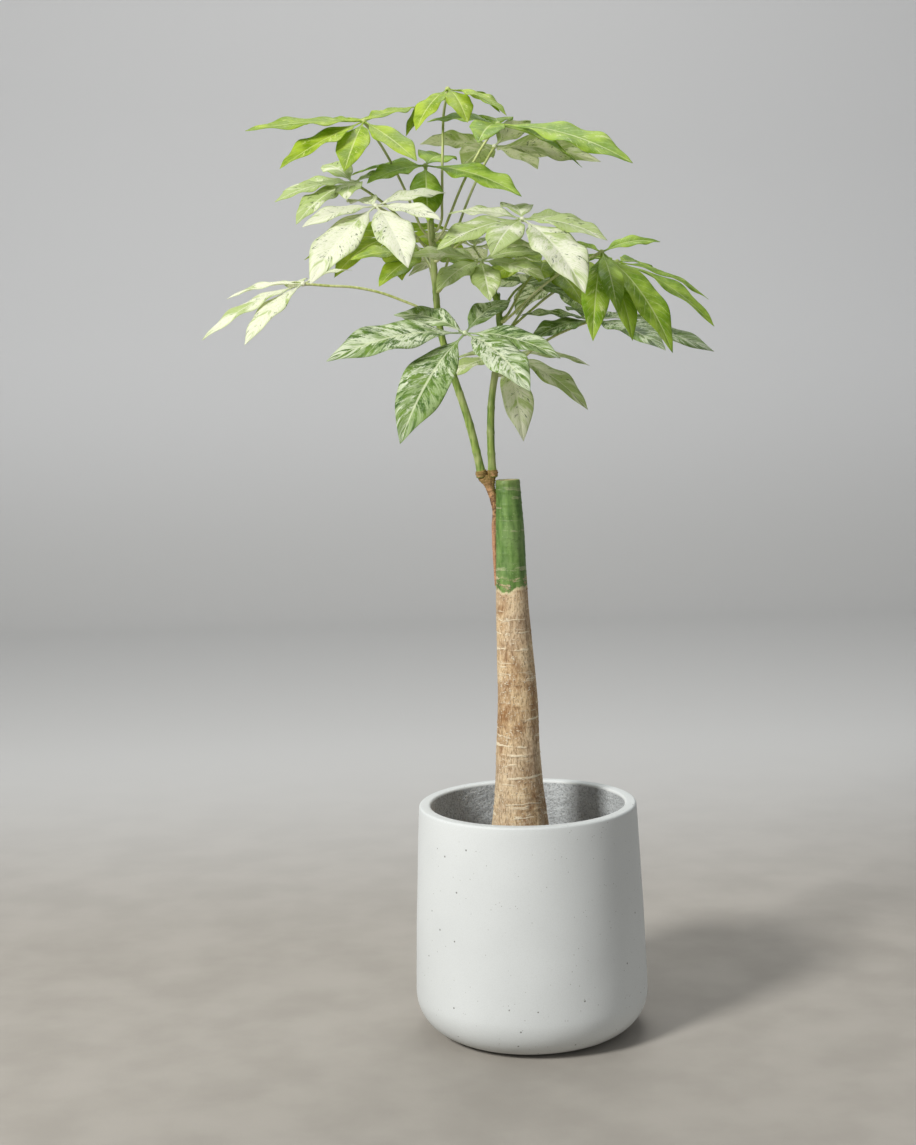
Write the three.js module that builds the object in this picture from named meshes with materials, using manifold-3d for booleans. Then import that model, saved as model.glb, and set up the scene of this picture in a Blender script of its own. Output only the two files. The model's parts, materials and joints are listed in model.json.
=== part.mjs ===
// A variegated money tree (Pachira) in a round cast-stone planter.
// A cut-back trunk stands in potting soil. A side shoot near its top forks into two green stems. Each stem
// carries palmate leaves: a long petiole that ends in a hub, from which five to seven leaflets radiate.
// Millimetres, +Z up. The origin is the centre of the planter's flat base, and -Y is the front.
import * as THREE from "three";
import { mergeVertices } from "three/addons/utils/BufferGeometryUtils.js";
import Module from "manifold-3d";

const wasm = await Module();
wasm.setup();

const GAP = 0.3; // clearance between neighbouring bodies

// Planter
const POT_RADIUS = 140;
const POT_HEIGHT = 278;
const POT_BASE_FILLET = 50;
const POT_RIM_RADIUS = 130.5;
const POT_WALL = 14;
const POT_FLOOR = 18;
const POT_SIDES = 40;

// Soil and trunk
const SOIL_LEVEL = 200;
const SOIL_MOUND = 6;
const ROOT_DEPTH = 80;
const TRUNK_TOP = 666;
const TRUNK_SIDES = 16;

// Stems and petioles
const STEM_SIDES = 8;
const STEM_FOOT = 672.5;
const PETIOLE_SIDES = 6;
const PETIOLE_RADIUS = 1.9;
const BUD_LENGTH = 13;

// Leaflets
const HUB_RADIUS = 4;
const LEAFLET_THICKNESS = 1.4;
const LEAFLET_FOLD = 0.16; // how far the edges rise above the midrib, over the half width
const STALK_HALF_WIDTH = 1.3;
const ROOM_THICKNESS = 5; // the space that a leaflet keeps to its neighbours
const ROOM_HUB = 17;

const UP = new THREE.Vector3(0, 0, 1);
const point = (x, y, z) => new THREE.Vector3(x, y, z);
const radians = THREE.MathUtils.degToRad;

// A point of a polyline of [z, value] pairs, read at height z.
function along(pairs, z) {
  const last = pairs.length - 1;
  if (z <= pairs[0][0]) return pairs[0][1];
  for (let i = 0; i < last; i++) {
    const [z0, v0] = pairs[i];
    const [z1, v1] = pairs[i + 1];
    if (z <= z1) return v0 + ((v1 - v0) * (z - z0)) / (z1 - z0);
  }
  return pairs[last][1];
}

// A closed body through a row of rings of equally many points, each counterclockwise seen from the end.
function loft(rings) {
  const sides = rings[0].length;
  const index = [];
  for (let r = 0; r + 1 < rings.length; r++) {
    for (let k = 0; k < sides; k++) {
      const a = r * sides + k;
      const b = r * sides + ((k + 1) % sides);
      index.push(a, b, b + sides, a, b + sides, a + sides);
    }
  }
  const end = (rings.length - 1) * sides;
  for (let k = 1; k + 1 < sides; k++) {
    index.push(0, k + 1, k);
    index.push(end, end + k, end + k + 1);
  }
  const geometry = new THREE.BufferGeometry().setFromPoints(rings.flat());
  return geometry.setIndex(index);
}

// A profile of (radius, height) points turned about the Z axis.
const turned = (profile, sides) => new THREE.LatheGeometry(profile, sides).rotateX(Math.PI / 2);

// A ring of radius r about centre, square to normal. stretch widens it along X.
function ring(centre, normal, r, sides, stretch = 1) {
  const across = new THREE.Vector3().crossVectors(normal, point(0, 1, 0));
  if (across.lengthSq() < 1e-6) across.set(1, 0, 0);
  across.normalize();
  const over = new THREE.Vector3().crossVectors(normal, across).normalize();
  return Array.from({ length: sides }, (_, k) => {
    const a = (2 * Math.PI * k) / sides;
    return centre
      .clone()
      .addScaledVector(across, r * stretch * Math.cos(a))
      .addScaledVector(over, r * Math.sin(a));
  });
}

// A geometry as a manifold-3d solid, and back.
function solid(geometry) {
  const bare = geometry.clone();
  bare.deleteAttribute("normal");
  bare.deleteAttribute("uv");
  const merged = mergeVertices(bare, 1e-4);
  return new wasm.Manifold(
    new wasm.Mesh({
      numProp: 3,
      vertProperties: new Float32Array(merged.attributes.position.array),
      triVerts: new Uint32Array(merged.index.array),
    }),
  );
}

function geometryOf(body) {
  const mesh = body.getMesh();
  return new THREE.BufferGeometry()
    .setAttribute("position", new THREE.BufferAttribute(mesh.vertProperties, 3))
    .setIndex(new THREE.BufferAttribute(mesh.triVerts, 1));
}

// Materials, one for each kind of surface.
const finish = (color, roughness) => new THREE.MeshStandardMaterial({ color, roughness, metalness: 0 });
const FINISH = {
  pot: finish(0xd6d8d5, 0.7),
  soil: finish(0x3b2c20, 0.95),
  bark: finish(0xb59a72, 0.8),
  shoot: finish(0x9a7c50, 0.75),
  stem: finish(0x7f9440, 0.5),
  bud: finish(0x6f9a2c, 0.5),
  petiole: finish(0xa9b56a, 0.5),
  leaf: finish(0xa9bd74, 0.45),
};

const plant = new THREE.Group();
function add(name, geometry, material) {
  const mesh = new THREE.Mesh(geometry, material);
  mesh.name = name;
  plant.add(mesh);
}

// ---- Planter: a turned shell with a rounded foot, a slight taper to the rim and a flat floor inside.

// The outside radius at a height above the foot's fillet.
function potRadius(z) {
  const t = (z - POT_BASE_FILLET) / (POT_HEIGHT - POT_BASE_FILLET);
  return POT_RADIUS + (POT_RIM_RADIUS - POT_RADIUS) * Math.pow(Math.max(t, 0), 1.3);
}

function potProfile() {
  const lip = POT_WALL / 2 - 2.5;
  const shape = new THREE.Shape();
  shape.moveTo(0, 0);
  shape.lineTo(POT_RADIUS - POT_BASE_FILLET, 0);
  shape.absarc(POT_RADIUS - POT_BASE_FILLET, POT_BASE_FILLET, POT_BASE_FILLET, -Math.PI / 2, 0, false);
  for (const z of [110, 170, 225]) shape.lineTo(potRadius(z), z);
  shape.absarc(POT_RIM_RADIUS - lip, POT_HEIGHT - lip, lip, 0, Math.PI / 2, false);
  shape.absarc(POT_RIM_RADIUS - POT_WALL + lip, POT_HEIGHT - lip, lip, Math.PI / 2, Math.PI, false);
  shape.lineTo(potRadius(150) - POT_WALL, 150);
  const inner = POT_BASE_FILLET - POT_WALL;
  const innerRadius = POT_RADIUS - POT_WALL;
  shape.absarc(innerRadius - inner, POT_FLOOR + inner, inner, 0, -Math.PI / 2, true);
  shape.lineTo(0, POT_FLOOR);
  return shape.extractPoints(3).shape;
}
add("pot", turned(potProfile(), POT_SIDES), FINISH.pot);

// ---- Trunk: one grown piece, from the buried root through the flared foot to the sawn-off top.

const TRUNK_LEAN = [
  [SOIL_LEVEL, -9],
  [341, -10],
  [402, -9],
  [523, -12.5],
  [TRUNK_TOP, -14.5],
];
const TRUNK_RADIUS = [
  [SOIL_LEVEL - ROOT_DEPTH, 12],
  [SOIL_LEVEL - 45, 30],
  [SOIL_LEVEL - 12, 41],
  [SOIL_LEVEL + 14, 39],
  [250, 34],
  [280, 30.5],
  [305, 28.2],
  [341, 26.3],
  [402, 23.7],
  [463, 21.4],
  [523, 19.3],
  [570, 17.9],
  [606, 17.2],
  [642, 15.6],
  [TRUNK_TOP, 14.4],
];
const trunkCentre = (z) => point(along(TRUNK_LEAN, z), 0, z);

// The trunk, or with extra > 0 the space that it needs.
function trunkBody(extra) {
  const rings = TRUNK_RADIUS.map(([z, r]) => ring(trunkCentre(z), UP, r + extra, TRUNK_SIDES));
  if (extra > 0) {
    const deep = SOIL_LEVEL - ROOT_DEPTH - extra;
    rings.unshift(ring(trunkCentre(deep), UP, TRUNK_RADIUS[0][1] + extra, TRUNK_SIDES));
    const above = trunkCentre(TRUNK_TOP).add(point(0, 0, extra));
    rings.push(ring(above, UP, TRUNK_RADIUS.at(-1)[1] + extra, TRUNK_SIDES));
  }
  return loft(rings);
}
const trunk = trunkBody(0);
const trunkRoom = solid(trunkBody(1.2 * GAP));
add("trunk", trunk, FINISH.bark);

// ---- Soil: fills the planter to below its rim, with a socket round the trunk's foot.

function soilProfile() {
  const inner = POT_BASE_FILLET - POT_WALL;
  const floor = POT_FLOOR + GAP;
  const wall = (z) => potRadius(z) - POT_WALL - 2 * GAP;
  const shape = new THREE.Shape();
  shape.moveTo(0, floor);
  shape.lineTo(POT_RADIUS - POT_WALL - inner, floor);
  shape.absarc(POT_RADIUS - POT_WALL - inner, floor + inner, inner - 2 * GAP, -Math.PI / 2, 0, false);
  shape.lineTo(wall(150), 150);
  shape.lineTo(wall(SOIL_LEVEL - SOIL_MOUND), SOIL_LEVEL - SOIL_MOUND);
  shape.lineTo(60, SOIL_LEVEL);
  shape.lineTo(0, SOIL_LEVEL + 1);
  return shape.extractPoints(2).shape;
}
const soil = solid(turned(soilProfile(), POT_SIDES)).subtract(trunkRoom);
add("soil", geometryOf(soil), FINISH.soil);

// ---- Side shoot: a woody stub that runs down the trunk's flank as a ridge and carries the fork.

const SHOOT_RINGS = [
  { x: -31.5, z: 540, r: 1.2 },
  { x: -31.5, z: 575, r: 2.6 },
  { x: -31, z: 610, r: 3.6 },
  { x: -29, z: 634, r: 5 },
  { x: -32, z: 648, r: 5.6 },
  { x: -36, z: 659, r: 6.4 },
  { x: -38.5, z: 667, r: 7.6, stretch: 1.35 },
  { x: -38.5, z: STEM_FOOT - GAP, r: 6.6, stretch: 1.4 },
];
const SHOOT_Y = 3;
const shootRings = SHOOT_RINGS.map(({ x, z, r, stretch }) =>
  ring(point(x, SHOOT_Y, z), UP, r, STEM_SIDES, stretch),
);
const shoot = solid(loft(shootRings)).subtract(trunkRoom);
add("side_shoot", geometryOf(shoot), FINISH.shoot);

// ---- Stems: two green leaders from the fork, each tipped with a bud.

const STEMS = {
  left: {
    foot: 4.9,
    tip: 3.4,
    path: [
      [-44.8, 2, STEM_FOOT],
      [-56, 0, 726],
      [-66, 0, 761],
      [-80, 0, 806],
      [-90, 0, 850],
      [-94, 0, 913],
      [-96, 0, 966],
    ],
  },
  right: {
    foot: 4.7,
    tip: 3.6,
    path: [
      [-32.2, 3, STEM_FOOT],
      [-33, 3, 713],
      [-31, 4, 760],
      [-23, 6, 807],
      [-19, 8, 841],
      [-21, 10, 876],
    ],
  },
};

// What stands so far, as solids that a new leaflet has to miss.
const standing = [solid(trunk)];

for (const [side, stem] of Object.entries(STEMS)) {
  stem.curve = new THREE.CatmullRomCurve3(stem.path.map((p) => point(...p)));
  const steps = stem.path.length * 2;
  const rings = (extra) =>
    stem.curve.getSpacedPoints(steps).map((p, i) => {
      const t = i / steps;
      const normal = i === 0 ? UP : stem.curve.getTangentAt(t);
      return ring(p, normal, stem.foot + (stem.tip - stem.foot) * t + extra, STEM_SIDES);
    });
  const body = loft(rings(0));
  stem.room = solid(loft(rings(1.1 * GAP)));
  add(`stem_${side}`, body, FINISH.stem);
  standing.push(solid(body));

  const tip = stem.curve.getPointAt(1);
  const way = stem.curve.getTangentAt(1);
  const budRings = [
    [GAP, 0.85],
    [0.3 * BUD_LENGTH, 1],
    [0.7 * BUD_LENGTH, 0.6],
    [BUD_LENGTH, 0.15],
  ].map(([rise, size]) => ring(tip.clone().addScaledVector(way, rise), way, stem.tip * size, PETIOLE_SIDES));
  const bud = loft(budRings);
  add(`bud_${side}`, bud, FINISH.bud);
  standing.push(solid(bud));
}

// The stem's middle, direction and radius at a height.
function stemAt(stem, z) {
  let low = 0;
  let high = 1;
  for (let i = 0; i < 24; i++) {
    const t = (low + high) / 2;
    if (stem.curve.getPointAt(t).z < z) low = t;
    else high = t;
  }
  return {
    middle: stem.curve.getPointAt(low),
    way: stem.curve.getTangentAt(low),
    radius: stem.foot + (stem.tip - stem.foot) * low,
  };
}

// ---- Leaves. Each row gives the stem and the height where the petiole leaves it, the hub's place, the heading
// that the blade's upper side leans to and by how much, how far a leaflet curves down over its length, its
// half width over its length, and the leaflets as [heading, length, fall of the tip below the hub].
// Angles are in degrees, with 0 = +X and 90 = +Y.
const LEAVES = [
  {
    on: "left", at: 930, hub: [-156, -100, 980], face: [265, 24], curve: 26, breadth: 0.165,
    leaflets: [
      [236, 152, 36], [289, 134, 34], [210, 95, 15],
      [328, 88, 14], [30, 92, -10], [110, 96, -12],
    ],
  },
  {
    on: "left", at: 850, hub: [-61, -130, 838], face: [272, 34], curve: 30, breadth: 0.165,
    leaflets: [
      [232, 168, 45], [302, 142, 28], [204, 168, 10],
      [335, 118, 16], [56, 104, -20], [140, 108, -12],
    ],
  },
  {
    on: "right", at: 849, hub: [97, -60, 925], face: [285, 30], curve: 34, breadth: 0.135,
    leaflets: [
      [316, 154, 50], [254, 118, 60], [278, 104, 44],
      [297, 120, 53], [133, 68, -8], [30, 84, -8],
    ],
  },
  {
    on: "left", at: 921, hub: [7, -90, 962], face: [280, 26], curve: 30, breadth: 0.18,
    leaflets: [
      [297, 160, 34], [247, 108, 25], [207, 116, 12], [331, 108, 16],
      [35, 104, 4], [95, 104, -12], [150, 112, 4],
    ],
  },
  {
    on: "left", at: 951, hub: [-169, -40, 1080], face: [262, 20], curve: 12, breadth: 0.165,
    leaflets: [
      [206, 144, 6], [226, 142, 25], [258, 112, 29], [308, 112, 29],
      [58, 118, -13], [96, 105, -13], [150, 100, -2],
    ],
  },
  {
    on: "left", at: 946, hub: [-16, -30, 1074], face: [285, 24], curve: 28, breadth: 0.175,
    leaflets: [[335, 172, 19], [256, 110, 17], [36, 132, 20], [170, 84, -4], [92, 122, -6]],
  },
  {
    on: "left", at: 862, hub: [-245, -30, 900], face: [240, 16], curve: 28, breadth: 0.14,
    leaflets: [[205, 140, 27], [234, 126, 34], [166, 96, 9], [104, 96, 2], [44, 78, -12]],
  },
  {
    on: "left", at: 937, hub: [-185, -20, 1014], face: [250, 22], curve: 30, breadth: 0.18,
    leaflets: [
      [206, 100, 14], [232, 112, 22], [268, 88, 30],
      [117, 90, -18], [34, 80, -8], [160, 90, -2],
    ],
  },
  {
    on: "left", at: 957, hub: [-72, -5, 1118], face: [270, 8], curve: 34, breadth: 0.18,
    leaflets: [[238, 90, 37], [288, 82, 35], [322, 92, 37], [44, 88, 20], [134, 88, 20]],
  },
  {
    on: "left", at: 941, hub: [-101, -16, 1031], face: [290, 28], curve: 26, breadth: 0.21,
    leaflets: [[272, 92, 42], [326, 138, 19], [30, 118, -8], [75, 108, -10], [146, 108, 2], [205, 84, 8]],
  },
  {
    on: "right", at: 788, hub: [90, 10, 850], face: [285, 18], curve: 24, breadth: 0.175,
    leaflets: [
      [303, 140, 16], [342, 150, 16], [186, 104, -4],
      [214, 108, 4], [35, 108, 2], [100, 104, -8],
    ],
  },
  {
    on: "right", at: 838, hub: [126, 70, 920], face: [330, 20], curve: 30, breadth: 0.165,
    leaflets: [[332, 148, 34], [16, 128, 22], [60, 112, 6], [120, 112, -2], [175, 100, 0]],
  },
  {
    on: "left", at: 886, hub: [-41, -60, 919], face: [275, 26], curve: 28, breadth: 0.19,
    leaflets: [[236, 96, 22], [320, 96, 16], [276, 92, 26], [140, 88, -8], [188, 86, 2], [25, 84, -6]],
  },
  {
    on: "left", at: 877, hub: [-104, 90, 936], face: [262, 20], curve: 30, breadth: 0.2,
    leaflets: [
      [274, 92, 33], [232, 100, 24], [204, 100, 10], [320, 88, 24],
      [150, 96, -2], [90, 96, -4], [25, 88, -2],
    ],
  },
  {
    on: "right", at: 860, hub: [14, 70, 897], face: [290, 20], curve: 34, breadth: 0.18,
    leaflets: [[318, 88, 24], [0, 94, 8], [60, 90, -4], [130, 86, -4], [225, 84, 14]],
  },
  {
    on: "right", at: 812, hub: [-11, 110, 812], face: [290, 14], curve: 34, breadth: 0.16,
    leaflets: [[324, 138, 30], [286, 124, 46], [215, 110, 19], [22, 118, 8], [88, 114, 8], [150, 112, 8]],
  },
  {
    on: "right", at: 868, hub: [-45, 120, 945], face: [100, 12], curve: 36, breadth: 0.18,
    leaflets: [[148, 104, 12], [92, 108, 14], [35, 108, 12], [345, 104, 8], [212, 98, 12], [275, 88, 12]],
  },
  {
    on: "left", at: 911, hub: [-143, 170, 965], face: [105, 18], curve: 38, breadth: 0.175,
    leaflets: [[135, 128, 22], [88, 130, 24], [182, 120, 14], [35, 116, 14], [225, 104, 4], [325, 88, 0]],
  },
  {
    on: "right", at: 828, hub: [63, 170, 905], face: [75, 18], curve: 38, breadth: 0.175,
    leaflets: [[70, 130, 24], [20, 124, 16], [118, 124, 20], [330, 108, 6], [168, 104, 8], [262, 80, 0]],
  },
  {
    on: "left", at: 900, hub: [-18, 70, 1060], face: [60, 28], curve: 26, breadth: 0.19,
    leaflets: [[348, 130, 11], [18, 120, 8], [60, 112, 10], [112, 104, 8], [300, 84, -8], [170, 92, -4]],
  },
  {
    on: "right", at: 853, hub: [37, 35, 920], face: [285, 24], curve: 30, breadth: 0.2,
    leaflets: [[299, 104, 34], [262, 96, 36], [340, 104, 20], [215, 96, 14], [55, 100, 2], [120, 96, -4]],
  },
];

// How a leaflet gives way where it would meet a neighbour: [turn, extra fall, share of its length].
const GIVING_WAY = [
  [0, 0, 1],
  [0, 6, 1],
  [0, -6, 1],
  [6, 0, 1],
  [-6, 0, 1],
  [0, 12, 1],
  [0, -12, 1],
  [10, 8, 1],
  [-10, 8, 1],
  [10, -8, 1],
  [-10, -8, 1],
  [16, 0, 0.9],
  [-16, 0, 0.9],
  [0, 18, 0.9],
  [0, -18, 0.9],
  [0, 0, 0.75],
  [14, 10, 0.8],
  [-14, 10, 0.8],
  [14, -10, 0.8],
  [-14, -10, 0.8],
  [24, 0, 0.8],
  [-24, 0, 0.8],
  [0, 26, 0.75],
  [0, -26, 0.75],
  [0, 0, 0.55],
  [20, 20, 0.6],
  [-20, 20, 0.6],
  [20, -20, 0.6],
  [-20, -20, 0.6],
];

// Share of the length at each of a leaflet's rings, with the share of the half width there.
const OUTLINE = [
  [0, 0],
  [0.1, 0.05],
  [0.26, 0.62],
  [0.48, 0.99],
  [0.7, 0.86],
  [0.88, 0.38],
  [1, 0],
];

const heading = (degrees) => point(Math.cos(radians(degrees)), Math.sin(radians(degrees)), 0);
const slope = (level, rise) =>
  level.clone().multiplyScalar(Math.cos(rise)).addScaledVector(UP, Math.sin(rise));

// A leaflet's rings, from inside the hub to the tip. It curves down along its length, steeply at most.
function leafletRings(leaf, [course, length, fall], [turn, extraFall, share], thickness, outline) {
  const level = heading(course + turn);
  const upper = slope(heading(leaf.face[0]), radians(90 - leaf.face[1]));
  const curve = radians(leaf.curve);
  const start = Math.max(radians(-(fall + extraFall)) + curve / 2, radians(-82) + curve);
  const half = length * share * leaf.breadth;
  const side = new THREE.Vector3().crossVectors(upper, slope(level, start - curve / 2)).normalize();

  const fine = 50;
  const at = point(...leaf.hub);
  const rings = [];
  for (let i = 0; i <= fine; i++) {
    const t = i / fine;
    const way = slope(level, start - curve * t);
    const stop = outline.find(([place]) => Math.abs(place - t) < 1e-6);
    if (stop) {
      const across = side.clone().projectOnPlane(way).normalize();
      const over = new THREE.Vector3().crossVectors(way, across);
      const width = Math.max(half * stop[1], t < 0.5 ? STALK_HALF_WIDTH : 0.7);
      const thick = (thickness / 2) * (t === 1 ? 0.5 : 1);
      const mid = (rise) => at.clone().addScaledVector(over, rise);
      const edge = (sign) => mid(LEAFLET_FOLD * width).addScaledVector(across, sign * width);
      rings.push([mid(-thick), edge(1), mid(thick), edge(-1)]);
    }
    at.addScaledVector(way, (length * share) / fine);
  }
  return rings;
}

function boxesMeet(a, b) {
  const p = a.boundingBox();
  const q = b.boundingBox();
  return [0, 1, 2].every((k) => p.min[k] <= q.max[k] && q.min[k] <= p.max[k]);
}
const meets = (a, b) => boxesMeet(a, b) && a.intersect(b).volume() > 0;
const crowds = (a, b) => boxesMeet(a, b) && (a.intersect(b).volume() > 0 || a.minGap(b, GAP) < 0.9 * GAP);

// Petiole: grows out of the stem's side, arches up and out, and ends under the hub.
function petiole(leaf) {
  const stem = STEMS[leaf.on];
  const { middle, way, radius } = stemAt(stem, leaf.at);
  const hub = point(...leaf.hub);
  const away = hub.clone().sub(middle);
  const reach = away.length();
  const rise = Math.asin(away.z / reach);
  const level = away.setZ(0).normalize();
  const side = level.clone().projectOnPlane(way).normalize();
  const arrival = slope(level, Math.max(rise - radians(10), radians(8)));
  const head = hub.clone().addScaledVector(arrival, -(HUB_RADIUS + GAP));
  const elbow = middle
    .clone()
    .addScaledVector(side, radius + 4.5)
    .addScaledVector(UP, 3.5);
  const bow = elbow.clone().lerp(head, 0.5).addScaledVector(UP, 0.06 * reach);
  const neck = head.clone().addScaledVector(arrival, -0.06 * reach);
  const curve = new THREE.CatmullRomCurve3([middle, elbow, bow, neck, head]);
  const places = [0, radius + 2, radius + 8].map((mm) => mm / curve.getLength());
  for (const share of [0.25, 0.45, 0.65, 0.85, 1]) places.push(share);
  const rings = places.map((t, i) => {
    const swell = i < 3 ? 1.3 - 0.1 * i : t === 1 ? 1.2 : 1;
    return ring(curve.getPointAt(t), curve.getTangentAt(t), PETIOLE_RADIUS * swell, PETIOLE_SIDES);
  });
  const pieces = solid(loft(rings)).subtract(stem.room).decompose();
  return pieces.reduce((a, b) => (a.volume() > b.volume() ? a : b));
}

const names = LEAVES.map((_, i) => `leaf_${String(i + 1).padStart(2, "0")}`);
LEAVES.forEach((leaf, i) => {
  const body = petiole(leaf);
  add(`${names[i]}_petiole`, geometryOf(body), FINISH.petiole);
  standing.push(body);
});

const hubRoom = LEAVES.map(({ hub }) => solid(new THREE.SphereGeometry(ROOM_HUB, 8, 6).translate(...hub)));

// Blade: the hub and its leaflets in one body. Each leaflet takes the first course that misses everything
// standing.
LEAVES.forEach((leaf, i) => {
  const otherHubs = hubRoom.filter((_, k) => k !== i);
  let blade = solid(new THREE.SphereGeometry(HUB_RADIUS, 6, 4).translate(...leaf.hub));
  for (const leaflet of leaf.leaflets) {
    for (const course of GIVING_WAY) {
      const body = solid(loft(leafletRings(leaf, leaflet, course, LEAFLET_THICKNESS, OUTLINE)));
      const room = solid(loft(leafletRings(leaf, leaflet, course, ROOM_THICKNESS, OUTLINE.slice(2))));
      if ([...standing, ...otherHubs].some((other) => meets(room, other) || crowds(body, other))) continue;
      blade = blade.add(body);
      standing.push(room);
      break;
    }
  }
  add(`${names[i]}_blade`, geometryOf(blade), FINISH.leaf);
});

export default plant;
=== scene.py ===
import json
import math
import random

import bmesh
import bpy
import numpy as np
from mathutils import Matrix, Vector, noise


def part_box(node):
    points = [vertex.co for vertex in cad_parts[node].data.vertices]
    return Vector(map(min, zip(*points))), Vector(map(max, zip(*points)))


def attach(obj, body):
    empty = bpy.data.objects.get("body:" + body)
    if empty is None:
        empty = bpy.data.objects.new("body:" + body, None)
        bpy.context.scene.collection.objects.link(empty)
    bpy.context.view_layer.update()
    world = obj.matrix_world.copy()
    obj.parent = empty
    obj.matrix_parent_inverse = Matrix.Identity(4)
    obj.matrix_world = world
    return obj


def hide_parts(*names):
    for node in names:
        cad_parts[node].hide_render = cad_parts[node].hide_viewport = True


# A variegated money tree in a cast-stone planter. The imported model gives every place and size: each piece here is
# a finer surface over the CAD node of the same name, which it replaces. Metres, +Z up, the front towards -Y.

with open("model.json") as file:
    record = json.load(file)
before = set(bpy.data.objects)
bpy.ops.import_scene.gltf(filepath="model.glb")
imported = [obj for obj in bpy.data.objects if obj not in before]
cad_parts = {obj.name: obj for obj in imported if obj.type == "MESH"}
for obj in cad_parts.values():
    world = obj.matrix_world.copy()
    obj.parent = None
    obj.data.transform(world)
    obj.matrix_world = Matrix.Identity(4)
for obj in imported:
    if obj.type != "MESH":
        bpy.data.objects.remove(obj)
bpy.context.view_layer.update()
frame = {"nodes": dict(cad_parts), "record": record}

MM = 0.001
LEAVES = sorted(name[: -len("_blade")] for name in frame["nodes"] if name.endswith("_blade"))

# The photographed view.
CAMERA_PLACE = (-0.076, -2.25, 0.807)
CAMERA_PITCH = math.radians(-6.33)
CAMERA_ROLL = math.radians(1.57)
CAMERA_LENS = 60

# Heights on the stems where leaves once grew.
OLD_NODES = {"left": [0.700, 0.731, 0.768, 0.812], "right": [0.697, 0.722, 0.751]}
PETIOLE_RADIUS = 1.55 * MM
HUB_GAP = 4.3 * MM  # from the petiole's CAD end to the middle of the hub


# ---- Reading the CAD nodes: each plant node is a row of rings, which are found again by walking its edges.


def welded(node):
    """A CAD node's points, with its doubles joined, and the neighbours of each point."""
    mesh = frame["nodes"][node].data
    places, known, index = [], {}, []
    for vertex in mesh.vertices:
        key = tuple(round(c, 6) for c in vertex.co)
        if key not in known:
            known[key] = len(places)
            places.append(vertex.co[:])
        index.append(known[key])
    near = [set() for _ in places]
    for edge in mesh.edges:
        a, b = (index[v] for v in edge.vertices)
        if a != b:
            near[a].add(b)
            near[b].add(a)
    return np.array(places), near


def walk_rings(places, near, first, size):
    """The rings of size points each, from the ring that holds the point first to the last whole one."""
    ring = set(np.argsort(np.linalg.norm(places - places[first], axis=1))[:size].tolist())
    rings, seen = [], set()
    while len(ring) == size:
        rings.append(places[sorted(ring)])
        seen |= ring
        ring = set().union(*(near[p] for p in ring)) - seen
    return rings


def spline(places, values, wanted):
    """The values at the wanted places, on a smooth curve through the values given at places."""
    places, values, wanted = (np.asarray(a, float) for a in (places, values, wanted))
    slopes = np.gradient(values, places, axis=0)
    k = np.clip(np.searchsorted(places, wanted) - 1, 0, len(places) - 2)
    step = places[k + 1] - places[k]
    t = (wanted - places[k]) / step
    if values.ndim > 1:
        step, t = step[:, None], t[:, None]
    return (
        (2 * t**3 - 3 * t**2 + 1) * values[k]
        + (t**3 - 2 * t**2 + t) * step * slopes[k]
        + (3 * t**2 - 2 * t**3) * values[k + 1]
        + (t**3 - t**2) * step * slopes[k + 1]
    )


def unit(v):
    """The vector or vectors at length 1."""
    return v / np.maximum(np.linalg.norm(v, axis=-1, keepdims=True), 1e-12)


def smoothstep(low, high, x):
    t = np.clip((x - low) / (high - low), 0, 1)
    return t * t * (3 - 2 * t)


# ---- Making pieces.


def make_piece(name, points, faces, material, slot, *nodes, uv=None, tones=None):
    """A smooth mesh piece that rides on the plant and stands for the CAD nodes."""
    mesh = bpy.data.meshes.new(name)
    mesh.from_pydata([tuple(p) for p in points], [], faces)
    mesh.update()
    mesh.polygons.foreach_set("use_smooth", [True] * len(mesh.polygons))
    corners = np.empty(len(mesh.loops), int)
    mesh.loops.foreach_get("vertex_index", corners)
    for layer, values in (uv or {}).items():
        mesh.uv_layers.new(name=layer).data.foreach_set("uv", np.asarray(values, float)[corners].ravel())
    for layer, values in (tones or {}).items():
        mesh.attributes.new(layer, "FLOAT", "POINT").data.foreach_set("value", np.asarray(values, float))
    mesh.materials.append(material)
    piece = bpy.data.objects.new(name, mesh)
    bpy.context.scene.collection.objects.link(piece)
    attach(piece, "root")
    if nodes:
        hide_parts(*nodes)
    return piece


def join_doubles(mesh):
    """Joins points at the same place, such as those of a ring with no radius."""
    shape = bmesh.new()
    shape.from_mesh(mesh)
    bmesh.ops.remove_doubles(shape, verts=shape.verts, dist=0.001 * MM)
    shape.to_mesh(mesh)
    shape.free()


class Parts:
    """Points, faces and point data of one mesh that is built up from several surfaces."""

    def __init__(self):
        self.points, self.faces, self.blade_uv, self.vein_uv, self.tone = [], [], [], [], []

    def add(self, points, faces, blade_uv=None, vein_uv=None, tone=0.5):
        start = len(self.points)
        count = len(points)
        self.points.extend(points)
        self.faces.extend([tuple(start + i for i in face) for face in faces])
        self.blade_uv.extend(np.zeros((count, 2)) if blade_uv is None else blade_uv)
        self.vein_uv.extend(np.zeros((count, 2)) if vein_uv is None else vein_uv)
        self.tone.extend([tone] * count)

    def make(self, name, material, slot, *nodes):
        return make_piece(
            name, self.points, self.faces, material, slot, *nodes,
            uv={"blade": self.blade_uv, "veins": self.vein_uv}, tones={"tone": self.tone},
        )


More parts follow.
